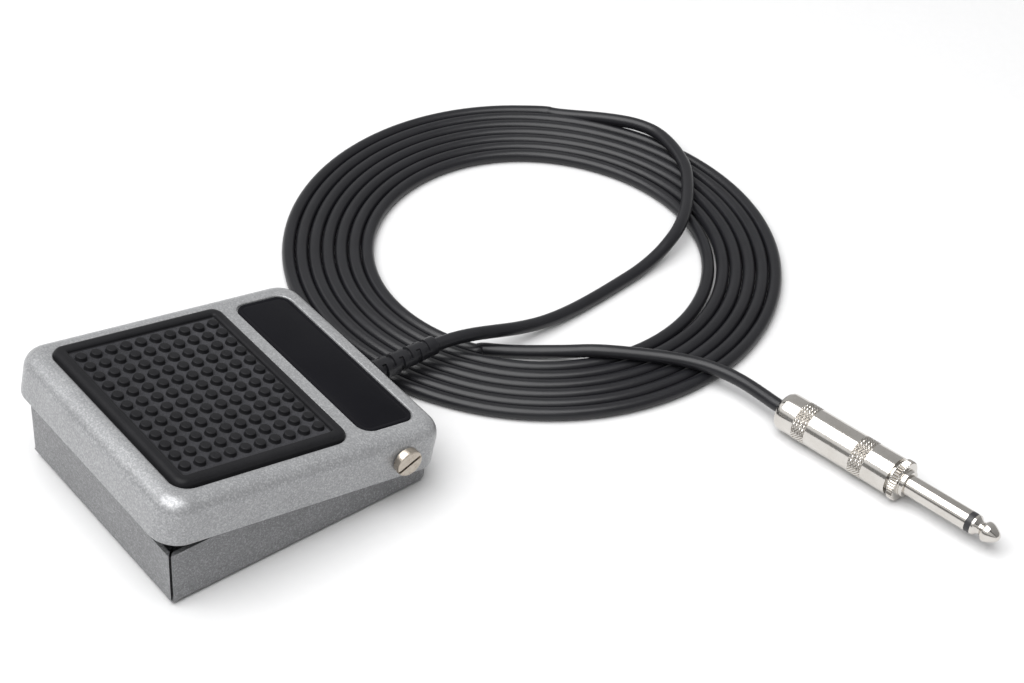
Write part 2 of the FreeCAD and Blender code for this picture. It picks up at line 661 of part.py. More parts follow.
def make_switch_mounting():
    half = "case_width / 2"
    bracket = new_body("switch_bracket")
    box(bracket, "+", "bracket_sheet", "case_length", f"case_low + case_height - ({floor_up})",
        (half, "case_front", floor_up))
    box(bracket, "+", "bracket_foot + bracket_sheet", "case_length", "bracket_sheet", (half, "case_front", floor_up))
    for place in switch_screw_places:
        cylinder(bracket, "-", "switch_screw_radius", "20", (half + " - 5", place, "switch_screw_up"), along_x)
    for along in rivet_places:
        cylinder(bracket, "-", "rivet_radius", "4", (rivet_x, along, "mat_thick"))

    rivet = new_body("bracket_rivet_one", (rivet_x, rivet_places[0], "mat_thick"))
    cylinder(rivet, "+", "rivet_radius", "pan_sheet + bracket_sheet")
    cylinder(rivet, "+", "rivet_head", "rivet_cap", ("0", "0", "pan_sheet + bracket_sheet"))
    top = size("pan_sheet") + size("bracket_sheet") + size("rivet_cap")
    round_edges(rivet, "0.6", lambda edge: lies_at(edge, top))
    middle = FreeCAD.Vector(0, size("case_front") + size("case_length") / 2, 0)
    mirrored_pair("bracket_rivets", rivet, FreeCAD.Vector(0, 1, 0), middle)

    screw = new_body("switch_screw_one", (f"-{half}", switch_screw_places[0], "switch_screw_up"), along_x)
    cylinder(screw, "+", "switch_screw_radius", "case_width + bracket_sheet + switch_nut_depth + 0.6")
    cylinder(screw, "+", "switch_screw_head", "switch_screw_cap", ("0", "0", "-switch_screw_cap"))
    box(screw, "-", "5", "0.5", "0.6", ("-2.5", "-0.25", "-switch_screw_cap"))
    mirrored_pair("switch_screws", screw, FreeCAD.Vector(0, 1, 0), middle)

    nut = new_body("switch_nut_one", (half + " + bracket_sheet", switch_screw_places[0], "switch_screw_up"), along_x)
    hexagon(nut, "switch_nut_radius", "switch_nut_depth")
    cylinder(nut, "-", "switch_screw_radius", "switch_nut_depth + 2", ("0", "0", "-1"))
    mirrored_pair("switch_nuts", nut, FreeCAD.Vector(0, 1, 0), middle)


def make_plug():
    yaw = FreeCAD.Rotation(FreeCAD.Vector(0, 0, 1), size("plug_yaw")).multiply(along_x)
    at = ("plug_x", "plug_y", "plug_up")
    shoulder = "barrel_length + collar_gap + collar_length + shoulder_length"

    barrel = new_body("plug_barrel", at, yaw)
    cylinder(barrel, "+", "barrel_radius", "barrel_length")
    round_edges(barrel, "barrel_round", lambda edge: lies_at(edge, 0))
    cylinder(barrel, "-", "barrel_bore", "barrel_length", ("0", "0", "barrel_end"))
    cylinder(barrel, "-", "grommet_radius", "barrel_end + 2", ("0", "0", "-1"))

    grommet = new_body("plug_grommet", at, yaw)
    cylinder(grommet, "+", "grommet_radius", "barrel_end")
    cylinder(grommet, "-", "cord_radius", "barrel_end + 2", ("0", "0", "-1"))

    stub = new_body("plug_inner_cord", at, yaw)
    cylinder(stub, "+", "cord_radius", "ferrule_low + ferrule_length")

    ferrule = new_body("plug_cord_clamp", at, yaw)
    cylinder(ferrule, "+", "ferrule_radius", "ferrule_length", ("0", "0", "ferrule_low"))
    box(ferrule, "+", "2.4", "0.8", "barrel_length - collar_insert - ferrule_low",
        ("-1.2", "-ferrule_radius", "ferrule_low"))
    cylinder(ferrule, "-", "cord_radius", "ferrule_length + 4", ("0", "0", "ferrule_low - 2"))

    collar = new_body("plug_collar", at, yaw)
    cylinder(collar, "+", "barrel_bore", "collar_insert", ("0", "0", "barrel_length - collar_insert"))
    cylinder(collar, "+", "collar_neck", "collar_gap", ("0", "0", "barrel_length"))
    cylinder(collar, "+", "collar_radius", "collar_length", ("0", "0", "barrel_length + collar_gap"))
    cone(collar, "shoulder_big", "shoulder_small", "shoulder_length",
         ("0", "0", "barrel_length + collar_gap + collar_length"))
    cylinder(collar, "-", "sleeve_bore", "100", ("0", "0", "0"))

    sleeve = new_body("plug_sleeve", at, yaw)
    cylinder(sleeve, "+", "shank_radius", "sleeve_length", ("0", "0", shoulder))
    cylinder(sleeve, "-", "sleeve_bore", "sleeve_length + 2", ("0", "0", shoulder + " - 1"))

    ring = new_body("plug_insulator", at, yaw)
    cylinder(ring, "+", "sleeve_bore", f"{shoulder} - barrel_length + collar_insert + sleeve_length",
             ("0", "0", "barrel_length - collar_insert"))
    cylinder(ring, "+", "shank_radius", "ring_length", ("0", "0", shoulder + " + sleeve_length"))
    cylinder(ring, "-", "rod_radius", "100", ("0", "0", "0"))

    tip = new_body("plug_tip", at, yaw)
    start = shoulder + " + sleeve_length + ring_length"
    cylinder(tip, "+", "rod_radius", f"{start} - rod_back", ("0", "0", "rod_back"))
    cylinder(tip, "+", "shank_radius", "tip_land", ("0", "0", start))
    cone(tip, "shank_radius", "tip_neck", "tip_fall", ("0", "0", start + " + tip_land"))
    cone(tip, "tip_neck", "shank_radius", "tip_climb", ("0", "0", start + " + tip_land + tip_fall"))
    cone(tip, "shank_radius", "tip_point", "tip_taper", ("0", "0", start + " + tip_land + tip_fall + tip_climb"))


def tube(label, points, radius):
    """A round tube on straight runs joined by tangent arcs, as large as the two runs allow."""
    vectors = [FreeCAD.Vector(*point) for point in points]
    edges = []
    radii = []
    start = vectors[0]
    for before, corner, after in zip(vectors, vectors[1:], vectors[2:]):
        back = (before - corner).normalize()
        ahead = (after - corner).normalize()
        turn = math.pi - back.getAngle(ahead)
        shorter = min((before - corner).Length, (after - corner).Length)
        setback = 0.45 * shorter
        arc_radius = setback / math.tan(turn / 2)
        first = corner + back * setback
        last = corner + ahead * setback
        bisector = (back + ahead).normalize()
        centre_distance = math.hypot(arc_radius, setback)
        middle = corner + bisector * (centre_distance - arc_radius)
        edges.append(Part.LineSegment(start, first).toShape())
        edges.append(Part.Arc(first, middle, last).toShape())
        radii.append(arc_radius)
        start = last
    edges.append(Part.LineSegment(start, vectors[-1]).toShape())
    path = Part.Wire(edges)
    direction = vectors[1] - vectors[0]
    section = Part.Wire(Part.makeCircle(radius, vectors[0], direction))
    solid = path.makePipeShell([section], True, False)
    expected = math.pi * radius ** 2 * path.Length
    print(f"{label}: length {path.Length:.1f}, smallest arc {min(radii):.1f}, "
          f"volume over section x length {solid.Volume / expected:.4f}")
    print("   arcs", " ".join(f"{value:.0f}" for value in radii))
    piece = doc.addObject("Part::Feature", label)
    piece.Shape = solid
    piece.Placement = FreeCAD.Placement()
    piece.Label = label
    return piece


def make_cord():
    exit_y = (size("pan_length") / 2 + size("relief_flange_depth") + size("relief_taper")
              + size("relief_collar"))
    exit_z = size("exit_height")
    lead_in_route = [
        (0, exit_y, exit_z),
        (1.2, 85, 11.3),
        (5.5, 98, 11.0),
        (7.4, 112, 6.6),
        (5.0, 127, 2.8),
        (1.6, 143, 2.5),
        (0.6, 158, 5.6),
        (-3.2, 172.5, 10.4),
        (-13, 187.5, 10.9),
        (-27, 201.5, 10.9),
        (-44, 208.4, 10.2),
        (-60, 206, 7.8),
        (-74, 197.9, 4.6),
        (-84.5, 188.6, 2.5),
    ]
    lead_out_route = [
        (3.2, 93.5, 2.4),
        (12.5, 103, 2.7),
        (22.5, 114.5, 7.0),
        (33, 123.8, 10.8),
        (45.5, 133.3, 10.9),
        (56.5, 140.2, 9.8),
        (67.3, 143.4, 6.9),
        (size("plug_x"), size("plug_y"), size("plug_up")),
    ]
    radius = size("cord_radius")
    nodes["cord_lead_in"] = tube("cord_lead_in", lead_in_route, radius)
    nodes["cord_lead_out"] = tube("cord_lead_out", lead_out_route, radius)

    coil = new_body("cord_coil", ("coil_x", "coil_y", "0"))
    cylinder(coil, "+", "coil_outer", "coil_height")
    round_edges(coil, "1.2", lambda edge: lies_at(edge, size("coil_height")))
    cylinder(coil, "-", "coil_inner", "coil_height + 2", ("0", "0", "-1"))


def make_wires():
    jacket_end = size("cord_inner_end")
    height = size("exit_height")
    rear_lug = size("lug_first") + 2 * size("lug_pitch") + size("lug_sheet") / 2
    middle_lug = size("lug_first") + size("lug_pitch") + size("lug_sheet") / 2
    right_route = [(0.9, jacket_end, height), (1.3, 23.6, 10.4), (1.5, 20.8, 8.4), (1.1, 18.6, 6.4),
                   (0.9, rear_lug, 5.6)]
    left_route = [(-0.9, jacket_end, height), (-1.7, 23.4, 10.2), (-2.8, 20.6, 8.2), (-3.3, 17.4, 6.4),
                  (-3.0, 14.0, 5.7), (-1.9, 11.2, 5.5), (-0.9, middle_lug, 5.4)]
    radius = size("wire_radius")
    pair = [tube("right_wire", right_route, radius), tube("left_wire", left_route, radius)]
    wires = doc.addObject("Part::Compound", "signal_wires")
    wires.Links = pair
    wires.Label = "signal_wires"
    nodes["signal_wires"] = wires


make_mat()
make_pan()
make_cover()
make_tread_pad()
make_name_plate()
make_hinge("right", along_x, 1, ("head_radius", "head_depth", "0.4", True))
make_hinge("left", along_minus_x, -1, ("pin_head", "pin_head_depth", "0.3", False))
make_strain_relief()
make_cord_inside()
make_spring()
make_stops()
make_switch()
make_switch_mounting()
make_plug()
make_cord()
make_wires()
doc.recompute()

troubles = [thing.Name for thing in doc.Objects if {"Invalid", "Error"} & set(thing.State)]
for label, node in nodes.items():
    shape = node.Shape
    if shape.isNull() or not shape.isValid() or not shape.Solids:
        troubles.append(label)
if troubles:
    raise RuntimeError("failed objects: " + ", ".join(troubles))

os.makedirs("parts", exist_ok=True)
for label, node in nodes.items():
    node.Shape.exportStep(f"parts/{label}.step")
    print(f"{label}: {len(node.Shape.Solids)} solid, {node.Shape.Volume:.0f} mm3")
print(len(nodes), "nodes")
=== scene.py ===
import bmesh
import bpy
import json
import math
from mathutils import Matrix, Vector


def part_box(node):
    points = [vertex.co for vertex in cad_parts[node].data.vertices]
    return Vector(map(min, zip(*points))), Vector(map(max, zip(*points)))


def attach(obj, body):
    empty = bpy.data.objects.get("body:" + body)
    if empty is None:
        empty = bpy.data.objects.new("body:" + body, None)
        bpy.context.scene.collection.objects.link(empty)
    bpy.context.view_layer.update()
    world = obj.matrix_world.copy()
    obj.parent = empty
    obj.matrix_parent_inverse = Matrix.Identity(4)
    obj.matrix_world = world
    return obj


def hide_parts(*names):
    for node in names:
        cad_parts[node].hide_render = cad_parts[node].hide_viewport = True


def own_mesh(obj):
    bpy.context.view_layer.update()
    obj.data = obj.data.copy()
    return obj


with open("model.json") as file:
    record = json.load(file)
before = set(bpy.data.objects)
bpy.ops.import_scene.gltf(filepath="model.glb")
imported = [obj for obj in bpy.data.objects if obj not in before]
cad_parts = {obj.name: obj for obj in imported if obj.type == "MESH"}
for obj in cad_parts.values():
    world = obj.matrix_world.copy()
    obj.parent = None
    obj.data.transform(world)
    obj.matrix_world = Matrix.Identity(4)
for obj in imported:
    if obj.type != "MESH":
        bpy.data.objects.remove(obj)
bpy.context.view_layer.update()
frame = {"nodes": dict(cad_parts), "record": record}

mm = 0.001
fullTurn = 2 * math.pi
scene = bpy.context.scene
print("frame loaded:", len(frame["nodes"]), "nodes")


# the camera stands at this azimuth and elevation from lookAt, in degrees and metres
viewpoint = {
    "lookAt": (0.00365, 0.10151, 0.0012),
    "azimuth": 48.90,
    "elevation": 40.29,
    "roll": 4.15,
    "distance": 0.71615,
    "lens": 80.56,
}


def placeCamera(view):
    azimuth = math.radians(view["azimuth"])
    elevation = math.radians(view["elevation"])
    roll = math.radians(view["roll"])
    back = Vector((math.sin(azimuth) * math.cos(elevation),
                   -math.cos(azimuth) * math.cos(elevation), math.sin(elevation)))
    level = Vector((math.cos(azimuth), math.sin(azimuth), 0))
    upright = back.cross(level)
    side = level * math.cos(roll) + upright * math.sin(roll)
    up = upright * math.cos(roll) - level * math.sin(roll)
    lens = bpy.data.cameras.new("studioCamera")
    lens.sensor_width = 36
    lens.lens = view["lens"]
    lens.clip_start = 0.01
    lens.clip_end = 20
    lens.dof.use_dof = False
    camera = bpy.data.objects.new("studioCamera", lens)
    turn = Matrix((side, up, back)).transposed().to_4x4()
    camera.matrix_world = Matrix.Translation(Vector(view["lookAt"]) + back * view["distance"]) @ turn
    scene.collection.objects.link(camera)
    scene.camera = camera


placeCamera(viewpoint)
print("camera placed")


def newFinish(name):
    material = bpy.data.materials.new(name)
    material.use_nodes = True
    tree = material.node_tree
    tree.nodes.clear()
    output = tree.nodes.new("ShaderNodeOutputMaterial")
    shader = tree.nodes.new("ShaderNodeBsdfPrincipled")
    tree.links.new(shader.outputs["BSDF"], output.inputs["Surface"])
    return material, tree, shader


def surfacePoint(tree, shift=(0, 0, 0)):
    place = tree.nodes.new("ShaderNodeTexCoord")
    slide = tree.nodes.new("ShaderNodeMapping")
    slide.inputs["Location"].default_value = shift
    tree.links.new(place.outputs["Object"], slide.inputs["Vector"])
    return slide.outputs["Vector"]


def noise(tree, point, scale, detail=3, roughness=0.55):
    node = tree.nodes.new("ShaderNodeTexNoise")
    node.inputs["Scale"].default_value = scale
    node.inputs["Detail"].default_value = detail
    node.inputs["Roughness"].default_value = roughness
    tree.links.new(point, node.inputs["Vector"])
    return node.outputs["Fac"]


def flakes(tree, point, scale):
    node = tree.nodes.new("ShaderNodeTexVoronoi")
    node.inputs["Scale"].default_value = scale
    tree.links.new(point, node.inputs["Vector"])
    split = tree.nodes.new("ShaderNodeSeparateColor")
    tree.links.new(node.outputs["Color"], split.inputs["Color"])
    return split.outputs["Red"]


def spread(tree, value, fromLow, fromHigh, toLow, toHigh):
    node = tree.nodes.new("ShaderNodeMapRange")
    tree.links.new(value, node.inputs["Value"])
    node.inputs["From Min"].default_value = fromLow
    node.inputs["From Max"].default_value = fromHigh
    node.inputs["To Min"].default_value = toLow
    node.inputs["To Max"].default_value = toHigh
    return node.outputs["Result"]


def blendColours(tree, share, first, second):
    node = tree.nodes.new("ShaderNodeMix")
    node.data_type = "RGBA"
    tree.links.new(share, node.inputs[0])
    for socket, colour in ((node.inputs[6], first), (node.inputs[7], second)):
        if isinstance(colour, tuple):
            socket.default_value = (*colour, 1)
        else:
            tree.links.new(colour, socket)
    return node.outputs[2]


def relief(tree, shader, height, depth, strength=1.0):
    node = tree.nodes.new("ShaderNodeBump")
    node.inputs["Distance"].default_value = depth
    node.inputs["Strength"].default_value = strength
    tree.links.new(height, node.inputs["Height"])
    tree.links.new(node.outputs["Normal"], shader.inputs["Normal"])


def grainedFinish(name, look):
    material, tree, shader = newFinish(name)
    point = surfacePoint(tree)
    cloud = noise(tree, point, look["cloud"], 4)
    grain = noise(tree, point, look["grain"], 3, 0.6)
    tone = blendColours(tree, spread(tree, cloud, 0.3, 0.7, 0, 1), look["dark"], look["light"])
    speck = spread(tree, grain, 0.35, 0.7, 0, look.get("speck", 0.3))
    colour = blendColours(tree, speck, tone, look["fleck"])
    tree.links.new(colour, shader.inputs["Base Color"])
    tree.links.new(spread(tree, grain, 0.3, 0.7, *look["roughness"]), shader.inputs["Roughness"])
    shader.inputs["Metallic"].default_value = look.get("metallic", 0)
    shader.inputs["Specular IOR Level"].default_value = look.get("gloss", 0.5)
    relief(tree, shader, grain, look["bump"])
    return material


def metallicPaint(name, look):
    material, tree, shader = newFinish(name)
    point = surfacePoint(tree)
    cloud = noise(tree, point, look["cloud"], 3)
    grain = noise(tree, point, look["grain"], 4, 0.65)
    spark = spread(tree, flakes(tree, point, look["flakes"]), 0.55, 1.0, 0, look["sparkle"])
    tone = blendColours(tree, spread(tree, cloud, 0.3, 0.7, 0, 1), look["dark"], look["light"])
    mottled = blendColours(tree, spread(tree, grain, 0.35, 0.65, 0, look["mottle"]), tone, look["shade"])
    colour = blendColours(tree, spark, mottled, look["fleck"])
    tree.links.new(colour, shader.inputs["Base Color"])
    tree.links.new(spread(tree, grain, 0.3, 0.7, *look["roughness"]), shader.inputs["Roughness"])
    shader.inputs["Metallic"].default_value = look["metallic"]
    shader.inputs["Coat Weight"].default_value = look["coat"]
    shader.inputs["Coat Roughness"].default_value = look["coatRoughness"]
    relief(tree, shader, grain, look["bump"])
    return material


paintLook = {
    "dark": (0.28, 0.283, 0.29), "light": (0.325, 0.329, 0.336), "shade": (0.165, 0.168, 0.173),
    "fleck": (0.56, 0.565, 0.575), "cloud": 60, "grain": 1700, "flakes": 2600, "mottle": 0.6,
    "sparkle": 0.35, "roughness": (0.28, 0.42), "metallic": 0.35, "coat": 0.25, "coatRoughness": 0.3,
    "bump": 0.00005,
}
panLook = {
    "dark": (0.165, 0.167, 0.172), "light": (0.205, 0.207, 0.213), "shade": (0.092, 0.094, 0.098),
    "fleck": (0.48, 0.485, 0.495), "cloud": 70, "grain": 1600, "flakes": 2500, "mottle": 0.6,
    "sparkle": 0.3, "roughness": (0.34, 0.48), "metallic": 0.35, "coat": 0.12, "coatRoughness": 0.3,
    "bump": 0.00005,
}
rubberLook = {
    "dark": (0.007, 0.007, 0.008), "light": (0.0105, 0.0105, 0.0117), "fleck": (0.02, 0.02, 0.022),
    "cloud": 90, "grain": 3500, "speck": 0.35, "roughness": (0.38, 0.5), "gloss": 0.12, "bump": 0.00002,
}
fieldLook = {
    "dark": (0.02, 0.02, 0.0225), "light": (0.03, 0.03, 0.034), "fleck": (0.075, 0.075, 0.08),
    "cloud": 120, "grain": 3000, "speck": 0.5, "roughness": (0.55, 0.75), "gloss": 0.1, "bump": 0.00004,
}
plateLook = {
    "dark": (0.0042, 0.0042, 0.0057), "light": (0.006, 0.006, 0.0076), "fleck": (0.011, 0.011, 0.013),
    "cloud": 50, "grain": 3500, "speck": 0.25, "roughness": (0.4, 0.5), "gloss": 0.05, "bump": 0.00001,
}
cordLook = {
    "dark": (0.0068, 0.0068, 0.0083), "light": (0.01, 0.01, 0.012), "fleck": (0.019, 0.019, 0.022),
    "cloud": 110, "grain": 3600, "speck": 0.3, "roughness": (0.28, 0.38), "gloss": 0.36, "bump": 0.00001,
}
zincLook = {
    "dark": (0.50, 0.50, 0.51), "light": (0.62, 0.62, 0.62), "fleck": (0.75, 0.75, 0.74),
    "cloud": 180, "grain": 1800, "speck": 0.4, "roughness": (0.25, 0.42), "metallic": 1.0, "bump": 0.00003,
}
nylonLook = {
    "dark": (0.70, 0.69, 0.64), "light": (0.78, 0.77, 0.72), "fleck": (0.85, 0.84, 0.8),
    "cloud": 100, "grain": 1600, "speck": 0.3, "roughness": (0.4, 0.52), "gloss": 0.45, "bump": 0.00002,
}
phenolicLook = {
    "dark": (0.014, 0.014, 0.016), "light": (0.022, 0.022, 0.025), "fleck": (0.04, 0.04, 0.043),
    "cloud": 140, "grain": 2200, "speck": 0.3, "roughness": (0.35, 0.48), "gloss": 0.5, "bump": 0.00002,
}
brassLook = {
    "dark": (0.60, 0.45, 0.20), "light": (0.72, 0.56, 0.28), "fleck": (0.80, 0.70, 0.45),
    "cloud": 200, "grain": 1900, "speck": 0.4, "roughness": (0.22, 0.36), "metallic": 1.0, "bump": 0.00002,
}
wireLook = {
    "dark": (0.42, 0.03, 0.02), "light": (0.52, 0.05, 0.03), "fleck": (0.62, 0.12, 0.09),
    "cloud": 150, "grain": 2400, "speck": 0.3, "roughness": (0.35, 0.45), "gloss": 0.5, "bump": 0.00001,
}
nickelLook = {
    "dark": (0.60, 0.57, 0.53), "light": (0.68, 0.655, 0.62), "fleck": (0.76, 0.745, 0.72),
    "cloud": 160, "grain": 1400, "speck": 0.25, "roughness": (0.1, 0.16), "metallic": 1.0, "bump": 0.000006,
}
# painted shade: a dark brownish nickel for the knurl grooves and the collar flute valleys, standing for the
# shade in those hollows
grooveShadeLook = {
    "dark": (0.22, 0.195, 0.165), "light": (0.30, 0.275, 0.24), "fleck": (0.4, 0.37, 0.33),
    "cloud": 300, "grain": 1800, "speck": 0.25, "roughness": (0.3, 0.4), "metallic": 1.0, "bump": 0.00001,
}
turnedLook = {
    "rings": 1800, "waver": 1.5, "wear": 700, "dark": (0.40, 0.355, 0.30), "light": (0.52, 0.47, 0.41),
    "roughness": (0.24, 0.4), "bump": 0.00003,
}
# painted shade: a dark brown finish for the walls of the screw slot, standing for the shade inside the
# narrow slot
paintedSlotShadeLook = {
    "dark": (0.03, 0.02, 0.015), "light": (0.05, 0.035, 0.025), "fleck": (0.08, 0.06, 0.05),
    "cloud": 200, "grain": 1800, "speck": 0.3, "roughness": (0.5, 0.7), "metallic": 0.4, "bump": 0.00002,
}


def turnedNickel(name, look, centre):
    material, tree, shader = newFinish(name)
    point = surfacePoint(tree, tuple(-Vector(centre)))
    rings = tree.nodes.new("ShaderNodeTexWave")
    rings.wave_type = "RINGS"
    rings.rings_direction = "X"
    rings.inputs["Scale"].default_value = look["rings"]
    rings.inputs["Distortion"].default_value = look["waver"]
    rings.inputs["Detail"].default_value = 2
    tree.links.new(point, rings.inputs["Vector"])
    wear = noise(tree, point, look["wear"])
    tone = blendColours(tree, spread(tree, wear, 0.3, 0.7, 0, 1), look["dark"], look["light"])
    tree.links.new(tone, shader.inputs["Base Color"])
    tree.links.new(spread(tree, wear, 0.3, 0.7, *look["roughness"]), shader.inputs["Roughness"])
    shader.inputs["Metallic"].default_value = 1.0
    relief(tree, shader, rings.outputs["Fac"], look["bump"], 0.5)
    return material


coverPaint = metallicPaint("silverCoverPaint", paintLook)
panPaint = metallicPaint("greyPanPaint", panLook)
blackRubber = grainedFinish("mouldedRubber", rubberLook)
fieldRubber = grainedFinish("dustyFieldRubber", fieldLook)
satinPlate = grainedFinish("satinBlackPlate", plateLook)
cordVinyl = grainedFinish("blackVinyl", cordLook)
zincPlate = grainedFinish("zincPlate", zincLook)
naturalNylon = grainedFinish("naturalNylon", nylonLook)
phenolic = grainedFinish("blackPhenolic", phenolicLook)
tinnedBrass = grainedFinish("tinnedBrass", brassLook)
redWire = grainedFinish("redWireJacket", wireLook)
brightNickel = grainedFinish("brightNickel", nickelLook)
paintedSlotShade = grainedFinish("paintedSlotShadeFinish", paintedSlotShadeLook)
paintedGrooveShade = grainedFinish("grooveShadeNickel", grooveShadeLook)

finishOfSlot = {
    "cover_paint": coverPaint, "pan_paint": panPaint, "rubber": blackRubber, "plate_black": satinPlate,
    "cord_pvc": cordVinyl, "nickel": brightNickel, "zinc_steel": zincPlate, "nylon": naturalNylon,
    "switch_black": phenolic, "brass": tinnedBrass, "wire_insulation": redWire,
}
for subpart in frame["record"]["subparts"]:
    cadMesh = frame["nodes"][subpart["node"]].data
    cadMesh.materials.clear()
    cadMesh.materials.append(finishOfSlot[subpart["material_slot"]])
print("finishes made:", len(bpy.data.materials))


# out of the relief, over the coil, round it and out to the plug, in metres and degrees
cord = {
    "radius": 0.0021,
    "leadIn": [
        (0.0000, 0.0700, 0.0110), (0.0004, 0.0770, 0.0110), (0.0015, 0.0857, 0.0101),
        (0.0027, 0.0947, 0.0080), (0.0037, 0.1040, 0.0055), (0.0042, 0.1139, 0.0036),
        (0.0038, 0.1245, 0.0025), (0.0028, 0.1358, 0.0021), (0.0015, 0.1474, 0.0021),
        (0.0004, 0.1569, 0.0023), (-0.0010, 0.1657, 0.0037), (-0.0026, 0.1720, 0.0054),
        (-0.0056, 0.1792, 0.0064), (-0.0118, 0.1877, 0.0066), (-0.0198, 0.1957, 0.0066),
        (-0.0286, 0.2029, 0.0066), (-0.0341, 0.2054, 0.0066), (-0.0392, 0.2072, 0.0065),
        (-0.0445, 0.2085, 0.0064), (-0.0501, 0.2090, 0.0064), (-0.0549, 0.2081, 0.0064),
        (-0.0598, 0.2060, 0.0063), (-0.0648, 0.2031, 0.0058), (-0.0702, 0.1998, 0.0049),
        (-0.0753, 0.1962, 0.0040), (-0.0799, 0.1930, 0.0031), (-0.0841, 0.1899, 0.0025),
    ],
    "coilMiddle": (-0.0273, 0.1345),
    "coilRadius": 0.0796,
    "squeezeAngle": -50,
    "radiusSqueeze": 0.0006,
    "turnSpacing": 0.0043,
    "spacingSqueeze": 0.00012,
    "firstAngle": 138,
    "lastAngle": 2460,
    "pointsPerTurn": 24,
    "sidestepFrom": 272,
    "wobble": 0.00015,
    "waves": 3,
    "wavePhase": 0.5,  # radians, as is gapAngle
    "innerGap": 0.0005,
    "gapAngle": 0.8,
    "gapFromTurn": 4,
    "leadOut": [
        (0.0012, 0.0903, 0.0021), (0.0060, 0.0953, 0.0021), (0.0103, 0.1003, 0.0023),
        (0.0146, 0.1055, 0.0028), (0.0202, 0.1109, 0.0042), (0.0249, 0.1152, 0.0058),
        (0.0295, 0.1196, 0.0065), (0.0352, 0.1257, 0.0065), (0.0420, 0.1326, 0.0065),
        (0.0481, 0.1376, 0.0065), (0.0549, 0.1415, 0.0064), (0.0630, 0.1440, 0.0063),
        (0.0714, 0.1448, 0.0064), (0.0772, 0.1451, 0.0065), (0.0818, 0.1458, 0.0065),
    ],
    "exit": (0, 0.0735, 0.011),
    "length": 3.0,
}


def coilPoints(cord):
    steps = round((cord["lastAngle"] - cord["firstAngle"]) / 360 * cord["pointsPerTurn"])
    points = []
    for step in range(steps + 1):
        swept = step * 360 / cord["pointsPerTurn"]
        whole, rest = divmod(swept, 360)
        share = max(0, rest - cord["sidestepFrom"]) / (360 - cord["sidestepFrom"])
        inward = whole + share * share * (3 - 2 * share)
        angle = math.radians(cord["firstAngle"] + swept)
        squeeze = math.cos(angle - math.radians(cord["squeezeAngle"]))
        gap = max(0, math.cos(angle - cord["gapAngle"]))
        spacing = cord["turnSpacing"] - cord["spacingSqueeze"] * squeeze
        ripple = cord["wobble"] * math.sin(angle * cord["waves"] + cord["wavePhase"])
        slack = cord["innerGap"] * gap * max(0, inward - cord["gapFromTurn"])
        radius = cord["coilRadius"] - cord["radiusSqueeze"] * squeeze - spacing * inward + ripple - slack
        radius = radius / math.cos(math.pi / cord["pointsPerTurn"])
        x = cord["coilMiddle"][0] + radius * math.cos(angle)
        y = cord["coilMiddle"][1] + radius * math.sin(angle)
        points.append((x, y, cord["radius"]))
    return points


def layCord(cord):
    curve = bpy.data.curves.new("cordOnFloor", "CURVE")
    curve.dimensions = "3D"
    curve.bevel_depth = cord["radius"]
    curve.bevel_resolution = 8
    curve.resolution_u = 6
    curve.use_fill_caps = True
    route = cord["leadIn"] + coilPoints(cord) + cord["leadOut"]
    spline = curve.splines.new("NURBS")
    spline.points.add(len(route) - 1)
    for place, point in zip(spline.points, route):
        place.co = (*point, 1)
    spline.order_u = 3
    spline.use_endpoint_u = True
    curve.materials.append(cordVinyl)
    laid = bpy.data.objects.new("cordOnFloor", curve)
    scene.collection.objects.link(laid)
    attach(laid, "base")
    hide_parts("cord_lead_in", "cord_coil", "cord_lead_out")
    return laid


cordPiece = layCord(cord)
print("cord laid:", len(cordPiece.data.splines[0].points), "points")


# meshes are drawn in millimetres, and finishPiece turns them into metres
def roundedOutline(halfX, halfY, radius, cornerSteps=10, rearMarks=()):
    # counter-clockwise from the front right corner, the same count of points for every size
    radius = max(radius, 0.05)
    points = []
    corners = ((1, -1, -90), (1, 1, 0), (-1, 1, 90), (-1, -1, 180))
    for sideX, sideY, start in corners:
        middleX = sideX * (halfX - radius)
        middleY = sideY * (halfY - radius)
        for step in range(cornerSteps + 1):
            angle = math.radians(start + 90 * step / cornerSteps)
            points.append((middleX + radius * math.cos(angle), middleY + radius * math.sin(angle)))
        if (sideX, sideY) == (1, 1):
            points += [(mark, halfY) for mark in rearMarks]
    return points


def addRing(bm, outline, height, middleY=0):
    return [bm.verts.new((x, y + middleY, height)) for x, y in outline]


def joinRings(bm, lower, upper, gap=None):
    count = len(lower)
    for index in range(count):
        if index == gap:
            continue
        following = (index + 1) % count
        bm.faces.new((lower[index], lower[following], upper[following], upper[index]))


def arcSteps(inset, height, radius, steps, start, end):
    # pairs of inset and height along an arc whose middle lies at inset, height
    pairs = []
    for step in range(steps + 1):
        angle = math.radians(start + (end - start) * step / steps)
        pairs.append((inset + radius * math.cos(angle), height + radius * math.sin(angle)))
    return pairs


def finishPiece(bm, name, materials, place=None, sharp=38, weighted=False):
    bmesh.ops.remove_doubles(bm, verts=bm.verts, dist=0.0005)
    bmesh.ops.recalc_face_normals(bm, faces=bm.faces)
    bmesh.ops.scale(bm, vec=(mm, mm, mm), verts=bm.verts)
    if place is not None:
        bmesh.ops.transform(bm, matrix=place, verts=bm.verts)
    mesh = bpy.data.meshes.new(name)
    bm.to_mesh(mesh)
    bm.free()
    mesh.shade_smooth()
    mesh.set_sharp_from_angle(angle=math.radians(sharp))
    for material in materials:
        mesh.materials.append(material)
    piece = bpy.data.objects.new(name, mesh)
    scene.collection.objects.link(piece)
    if weighted:
        even = piece.modifiers.new("evenNormals", "WEIGHTED_NORMAL")
        even.keep_sharp = True
    return piece


